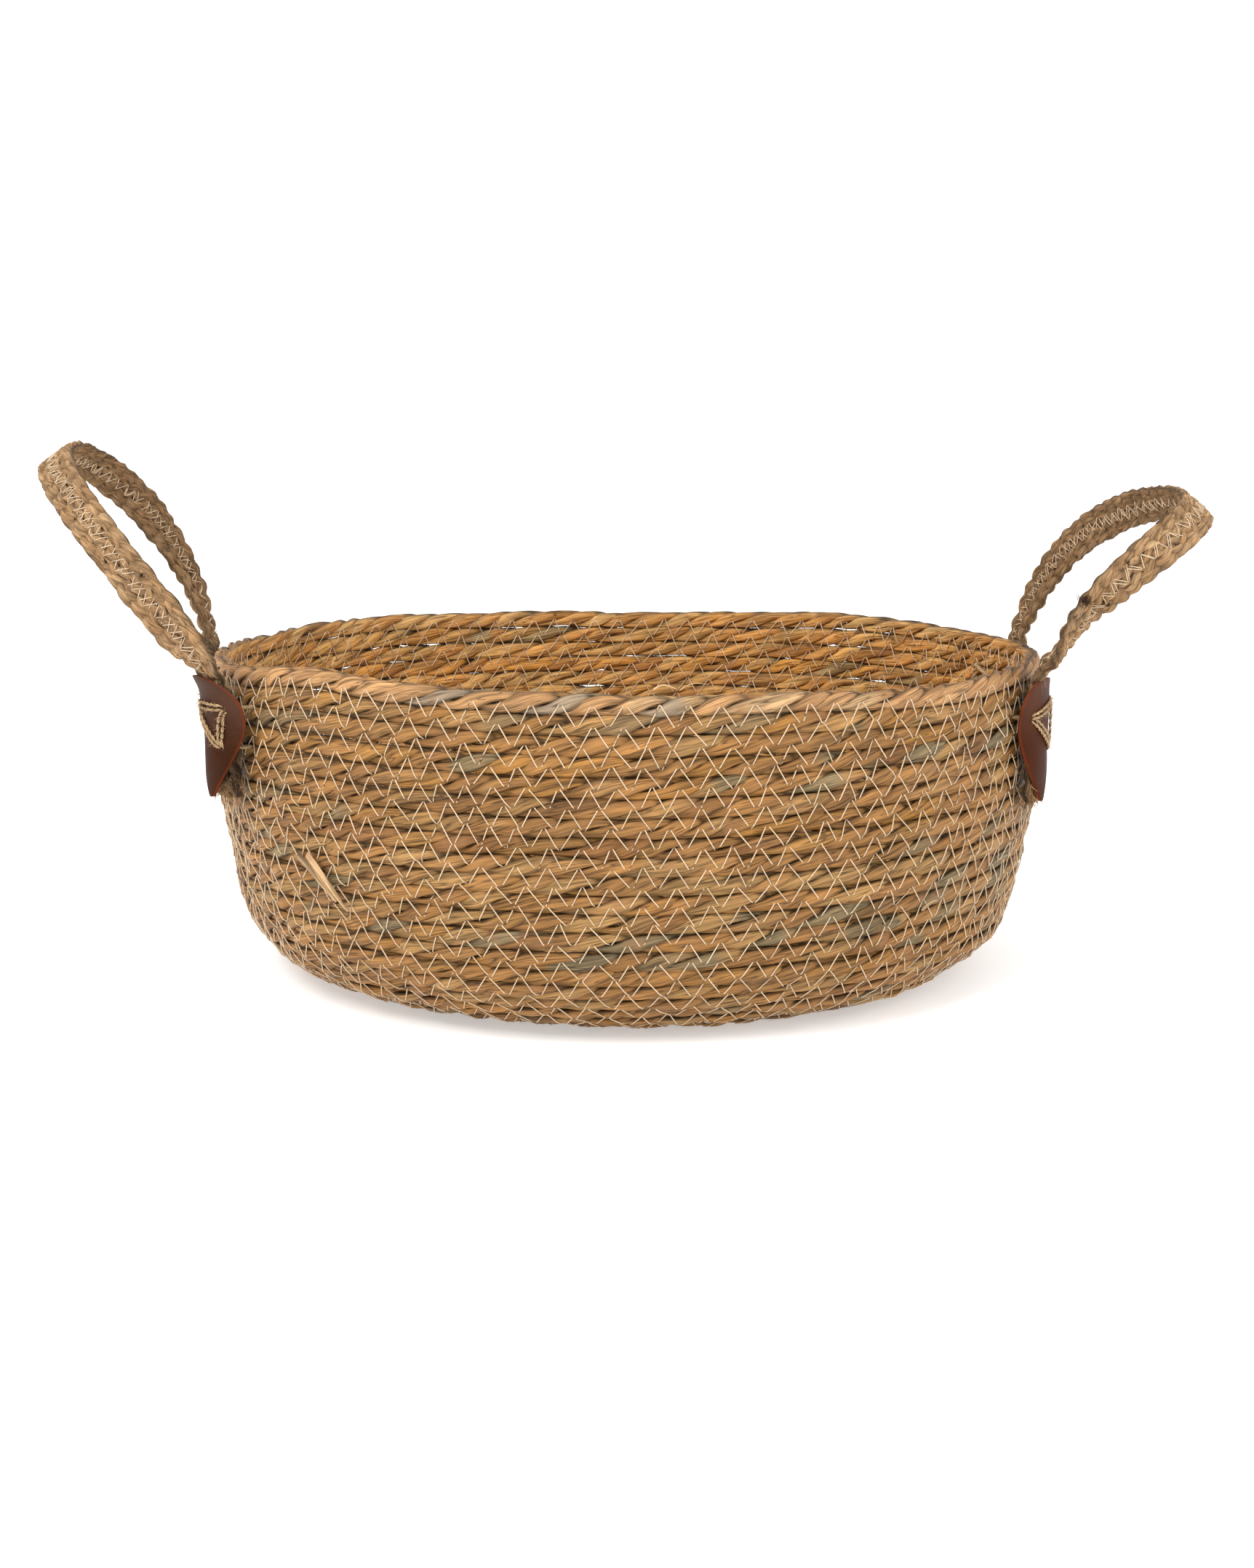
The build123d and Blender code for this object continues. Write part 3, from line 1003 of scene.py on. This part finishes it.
def strap_fuzz(name, strap, rng, flecks, material):
    """Loose hairs all over a strap, and a few dark flecks of bark."""
    line, ahead, across = strap["line"], strap["ahead"], strap["across"]
    outward, half_width, half_depth = strap["outward"], strap["half_width"], strap["half_depth"]
    piece = Piece(cells_across=48)
    number = 2600
    spot = rng.integers(6, len(line) - 6, number)
    around = rng.uniform(0, TURN, number)
    side_part = across[spot] * np.cos(around)[:, None]
    out_part = outward[spot] * np.sin(around)[:, None]
    reach = side_part * half_width[spot][:, None] * 0.94
    reach = reach + out_part * half_depth[spot][:, None] * 0.9
    forward = ahead[spot] * rng.choice([-1, 1], number)[:, None]
    aim = forward * rng.uniform(0.8, 2.0, (number, 1))
    aim = unit(aim + (side_part + out_part) * rng.uniform(0.1, 0.6, (number, 1)))
    size = rng.uniform(0.0015, 0.0048, number)
    hairs(piece, rng, line[spot] + reach, aim, size, 0.00005, JUTE_PALE, 0.3)
    for away, share, size, number in flecks:
        here = np.argmin(np.abs(strap["from_near"] - away))
        middle = line[here] + across[here] * half_width[here] * share
        middle = middle + outward[here] * half_depth[here]
        root = middle + rng.normal(size=(number, 3)) * size * 0.28
        aim = unit(rng.normal(size=(number, 3)) + ahead[here] * 0.5 + outward[here] * 0.3)
        hairs(piece, rng, root, aim, rng.uniform(0.4, 1.0, number) * size, 0.00016, FLECK, 0.5)
    return piece.build("Strap_fuzz_" + name, material, body=None)


def build_strap(name, handle, material, thread, hair):
    """A whole handle strap with its stitches and hairs, bending at the rim."""
    rng = np.random.default_rng(900 + handle["side"])
    strap = strap_line(handle)
    plaited, tree = plait_strap(name, strap, rng, material)
    stitches = sew_strap(name, strap, rng, tree, thread)
    fuzz = strap_fuzz(name, strap, rng, handle["flecks"], hair)
    for part in (plaited, stitches, fuzz):
        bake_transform(part)


def hairs(piece, rng, root, aim, length, radius, tone, curl):
    """Thin curved fibres that taper to a point."""
    number = len(root)
    steps = np.linspace(0, 1, 5)[None, :, None]
    bend = unit(rng.normal(size=(number, 3)))
    size = length[:, None, None]
    line = root[:, None, :] + aim[:, None, :] * steps * size
    line = line + bend[:, None, :] * steps ** 2 * size * curl
    taper = np.array([1.0, 0.95, 0.8, 0.6, 0.25])
    width = np.broadcast_to(np.asarray(radius, float), (number,))[:, None] * taper[None, :]
    tubes = tube(line, width, 3)
    bright = rng.uniform(0.7, 1.15, number)
    for k in range(number):
        start = tuple(rng.uniform(0, 1, 2))
        piece.grid(tubes[k], np.array(tone) * bright[k], TURN * 0.0001, start)


# ------------------------------------------------------- patches and twine

def patch_half_width(handle, height):
    """Half width of the patch's outline at a height."""
    shoulder = handle["top"] - handle["shoulder"]
    rise = np.clip((height - shoulder) / handle["shoulder"], 0, 1)
    top = PATCH_HALF_WIDTH * (1 - rise ** 2.4) ** (1 / 2.2)
    share = np.clip((height - handle["tip"]) / (shoulder - handle["tip"]), 0, 1)
    tip = PATCH_TIP_HALF_WIDTH
    lower = tip + (PATCH_HALF_WIDTH - tip) * (1 - (1 - share) ** 1.65)
    return np.where(height > shoulder, top, lower)


def patch_surface(handle, sideways, height, layer):
    """Distance from the basket's axis: layer 1 is the outer face, 0 the inner."""
    tilt = handle["tilt"] * np.clip((height - 0.115) / 0.036, -0.25, 1)
    below = (height - handle["top"] + 0.0045) / 0.0028
    crease = -0.0006 * np.exp(-(below ** 2)) * np.exp(-((sideways / 0.012) ** 2))
    pull = 0.0
    for across, up in handle["twine"]:
        far = ((sideways - across) ** 2 + (height - up) ** 2) / 0.0022 ** 2
        pull = pull - 0.0005 * np.exp(-far)
    flare = handle["flare"] * smoothstep(handle["top"] - 0.009, handle["top"], height)
    bend = handle["crown"] - handle["bend"] + np.sqrt(handle["bend"] ** 2 - sideways ** 2)
    return bend + tilt + flare + crease + pull - PATCH_THICKNESS * (1 - layer)


def build_patch(name, handle, azimuth, material, redness):
    """A leather patch with a smooth face, a rounded reddish cut edge and a raw back."""
    shoulder = handle["top"] - handle["shoulder"]
    lower = np.linspace(handle["tip"], shoulder, 40)
    turn = np.linspace(0, math.pi / 2, 42)[1:]
    heights = np.concatenate([lower, shoulder + handle["shoulder"] * np.sin(turn)])
    half = np.maximum(patch_half_width(handle, heights), 0.0004)
    # Round the section: the face, one cut edge of three points, the back, the other.
    face = -np.cos(np.linspace(0, math.pi, 42))
    flat = np.zeros_like(face)
    share = np.concatenate([face, (1, 1, 1), -face, (-1, -1, -1)])
    layer = np.concatenate([flat + 1, (0.82, 0.5, 0.18), flat, (0.18, 0.5, 0.82)])
    edge = np.concatenate([flat, (0.45, 1, 0.45), flat, (0.45, 1, 0.45)])
    bulge = np.concatenate([flat, (0.6, 1, 0.6), flat, (0.6, 1, 0.6)])
    across = half[:, None] * share + bulge * np.sign(share) * 0.00022
    up = np.broadcast_to(heights[:, None], across.shape)
    away = patch_surface(handle, across, up, layer)
    points = wall_points(wall_frame(handle["side"], azimuth), away, across, up)
    colour = np.array(LEATHER_FACE) * (1 + redness * np.array([0.75, 0.35, 0.15]))
    # Painted sheen: the upper part of the face is lighter and greyer in its tone.
    painted_sheen = smoothstep(0.098, 0.122, up)[..., None]
    tone = colour * (1 + 0.35 * painted_sheen) + np.array([0.018, 0.016, 0.014]) * painted_sheen
    tone = tone * (1 - edge[:, None]) + np.array(LEATHER_EDGE) * edge[:, None]
    tone = np.where((layer == 0)[:, None], np.array(LEATHER_BACK), tone)
    piece = Piece()
    piece.grid(points[:, ::-1], tone[:, ::-1], 0.08, (0, 0))
    made = piece.build("Patch_" + name, material)
    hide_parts("leather_patch_" + name)


def twisted(piece, line, radius, pitch, tone):
    """Twine of two twisted plies along one line of points."""
    first, second = round_directions(tangents(line))
    length = lengths(line)
    half = radius * 0.56
    for ply in range(2):
        turn = length / pitch * TURN + ply * math.pi
        spiral = first * np.cos(turn)[:, None] + second * np.sin(turn)[:, None]
        tubes = tube((line + spiral * radius * 0.5)[None], np.array([half]), 8)
        piece.grid(tubes[0], tone, TURN * half, (ply * 0.37, ply * 0.9), cells=2)


def build_twine(name, handle, azimuth, material, hair):
    """Triangle of doubled twine on a patch, through the wall and along its inside."""
    rng = np.random.default_rng(1500 + azimuth + handle["side"])
    frame_at = wall_frame(handle["side"], azimuth)
    out = frame_at[0]
    piece = Piece(cells_across=2)
    fuzz = Piece(cells_across=20)
    spots = np.linspace(0, 1, 34)
    share = spots[:, None]
    middling = np.sin(spots * math.pi)
    corners = [np.array(corner) for corner in handle["twine"]]
    for index in range(3):
        start, end = corners[index], corners[(index + 1) % 3]
        normal = unit(np.array([-(end - start)[1], (end - start)[0]]))
        for lane in (-1, 1):
            spread = lane * (0.0005 + 0.00045 * middling + rng.uniform(0, 0.0003))
            place = start * (1 - share) + end * share + normal * spread[:, None]
            place[:, 1] += rng.uniform(-0.0002, 0.0002)
            sunk = np.exp(-spots / 0.05) + np.exp(-(1 - spots) / 0.05)
            lift = 0.0005 + 0.0003 * middling - 0.0030 * sunk
            away = patch_surface(handle, place[:, 0], place[:, 1], 1.0) + lift
            line = wall_points(frame_at, away, place[:, 0], place[:, 1])
            twisted(piece, line, 0.00058, 0.0055, np.array(TWINE) * rng.uniform(0.9, 1.15))
            number = 70
            root = line[rng.integers(1, 33, number)]
            aim = unit(rng.normal(size=(number, 3)) + out * 0.8)
            size = rng.uniform(0.0008, 0.0026, number)
            hairs(fuzz, rng, root, aim, size, 0.00006, JUTE_PALE, 0.4)
        inner = [wall_points(frame_at, TWINE_INSIDE, *corner) for corner in (start, end)]
        line = inner[0] * (1 - share) + inner[1] * share
        line = line - out * (0.0006 * middling)[:, None]
        twisted(piece, line, 0.0010, 0.0045, TWINE)
        leg = np.linspace(0, 1, 12)[:, None]
        reach = patch_surface(handle, start[0], start[1], 1.0) - 0.001
        outer = wall_points(frame_at, reach, *start)
        twisted(piece, inner[0] * (1 - leg) + outer * leg, 0.0009, 0.0045, TWINE)
    made = piece.build("Twine_" + name, material)
    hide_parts("twine_stitch_" + name)
    fuzz.build("Twine_fuzz_" + name, hair)


def build_tuft(name, handle, azimuth, material, rng):
    """Frayed cut end of a strap below its patch."""
    frame_at = wall_frame(handle["side"], azimuth)
    out, sideways = frame_at
    piece = Piece(cells_across=24)
    number = 420
    across = rng.uniform(-0.0072, 0.0072, number)
    depth = handle["end_depth"]
    away = handle["foot"] + rng.uniform(-depth, depth, number) * 0.9
    up = rng.uniform(handle["bottom"], handle["bottom"] + 0.008, number)
    root = wall_points(frame_at, away, across, up)
    aim = rng.normal(size=(number, 3)) * 0.30 + out * 0.05
    aim = aim + sideways * (across / 0.008 * 0.25)[:, None]
    aim[:, 2] -= 1.0
    length = rng.uniform(0.0015, 0.0045, number)
    size = rng.uniform(0.00010, 0.00022, number)
    hairs(piece, rng, root, unit(aim), length, size, JUTE, 0.5)
    piece.build("Tuft_" + name, material)


def build_strays(material, rng):
    """Loose blade ends and fibres on the wall and the rim."""
    piece = Piece(cells_across=6)
    spots = np.linspace(0, 1, 14)
    # azimuth from the front in degrees, height, run along, run up, stand-off, width
    ends = (
        (-46.5, 0.0640, 0.020, -0.014, 0.0009, 0.0015),
        (-44.5, 0.0650, 0.018, -0.016, 0.0012, 0.0017),
        (-43.0, 0.0610, 0.015, -0.013, 0.0016, 0.0014),
        (-41.5, 0.0560, 0.011, -0.009, 0.0012, 0.0013),
        (41, 0.045, 0.007, 0.004, 0.0018, 0.0008),
        (3, 0.1325, 0.008, 0.001, 0.0006, 0.0004),
        (6, 0.1320, 0.010, 0.003, 0.0012, 0.00022),
        (-38, 0.1370, 0.001, 0.003, -0.0010, 0.0003),
        (120, 0.070, 0.012, -0.010, 0.0018, 0.0010),
        (200, 0.095, -0.012, 0.009, 0.0018, 0.0009),
    )
    for azimuth, height, run, climb, stand, width in ends:
        turn = math.radians(azimuth) + run * spots / 0.168  # about the wall's radius
        up = height + climb * spots + 0.0012 * np.sin(spots * 4.0)
        radius = np.interp(up, (0.02, 0.045, 0.08, 0.13), (0.1565, 0.1645, 0.1697, 0.1700))
        away = radius + 0.0010 + stand * np.sin(spots * math.pi * 0.75)
        line = np.stack([away * np.sin(turn), -away * np.cos(turn), up], -1)
        out = np.stack([np.sin(turn), -np.cos(turn), np.zeros_like(turn)], -1)
        ahead = tangents(line)
        flat = unit(np.cross(ahead, out))
        angle = np.arange(8) / 8 * TURN
        taper = (1 - 0.65 * spots ** 2) * width
        points = line[:, None, :] + flat[:, None, :] * (taper[:, None] * np.cos(angle))[..., None]
        points = points + out[:, None, :] * (0.25 * taper[:, None] * np.sin(angle))[..., None]
        tone = np.array(PALE_STRAW) * rng.uniform(0.9, 1.2)
        piece.grid(points, tone, 0.004, tuple(rng.uniform(0, 2, 2)))
    piece.build("Loose_blade_ends", material)


# -------------------------------------------------------- floor, light, view

def build_floor():
    """Plain pale floor: a disc and two rings round it."""
    sides = 96
    ring = ring_out(np.linspace(0, TURN, sides, endpoint=False))
    points = np.concatenate([ring * 0.3, ring * 3.0, ring * 30.0])
    faces = [list(range(sides))]
    for first in (0, sides):
        for k in range(sides):
            after = (k + 1) % sides
            faces.append([first + k, first + sides + k, first + sides + after, first + after])
    mesh = bpy.data.meshes.new("Floor")
    mesh.from_pydata(points.tolist(), [], faces)
    material, _, shader = new_material("Pale_floor")
    settings = {
        "Base Color": (0.85, 0.85, 0.85, 1),
        "Roughness": 1.0,
        "Specular IOR Level": 0.0,
        "Emission Color": (1.0, 1.0, 1.0, 1),
        "Emission Strength": 0.40,
    }
    for key, value in settings.items():
        shader.inputs[key].default_value = value
    mesh.materials.append(material)
    placed("Floor", mesh)


def area_light(name, place, size, power):
    """A soft square light aimed at the middle of the basket."""
    light = bpy.data.lights.new(name, "AREA")
    light.size = size
    light.energy = power
    lamp = placed(name, light)
    lamp.location = place
    aim = Vector((0, 0, 0.08)) - Vector(place)
    lamp.rotation_euler = aim.to_track_quat("-Z", "Y").to_euler()


def build_light():
    """Bright even surroundings and a soft key from the upper left front."""
    world = bpy.data.worlds.new("Studio")
    world.use_nodes = True
    background = world.node_tree.nodes["Background"]
    background.inputs["Color"].default_value = (1.0, 1.0, 1.0, 1)
    background.inputs["Strength"].default_value = 1.02
    bpy.context.scene.world = world
    area_light("Key", (-0.9, -1.4, 1.8), 1.1, 30.0)
    area_light("Fill", (1.4, -1.1, 1.2), 1.2, 9.0)
    bpy.context.scene.view_settings.view_transform = "Standard"


def build_camera():
    """Camera in front, a little above the rim, looking slightly down."""
    lens = bpy.data.cameras.new("Camera")
    lens.sensor_width = 36
    lens.lens = 50.59
    lens.clip_end = 100
    camera = placed("Camera", lens)
    camera.location = (0.0, -0.918, 0.2227)
    camera.rotation_euler = (math.pi / 2 - 0.163, 0, 0)
    bpy.context.scene.camera = camera


def main():
    """Builds everything."""
    grass = seagrass_material()
    jute = jute_material("Jute_plait", 0.35, 0.0009)
    twine = jute_material("Jute_twine", 0.6, 0.0004)
    hair = jute_material("Jute_fibres", 0.0, 0.0001)
    thread = thread_material()
    leather = leather_material()
    build_basket(grass, thread)
    for name, handle in HANDLES.items():
        build_strap(name, handle, jute, thread, hair)
        for key in ("near", "far"):
            full = f"{name}_{key}"
            redness = 0.55 if name == "right" else 0.0
            build_patch(full, handle, handle[key], leather, redness)
            build_twine(full, handle, handle[key], twine, hair)
            rng = np.random.default_rng(2000 + handle[key])
            build_tuft(full, handle, handle[key], hair, rng)
    build_strays(grass, np.random.default_rng(3000))
    build_floor()
    build_light()
    build_camera()


main()
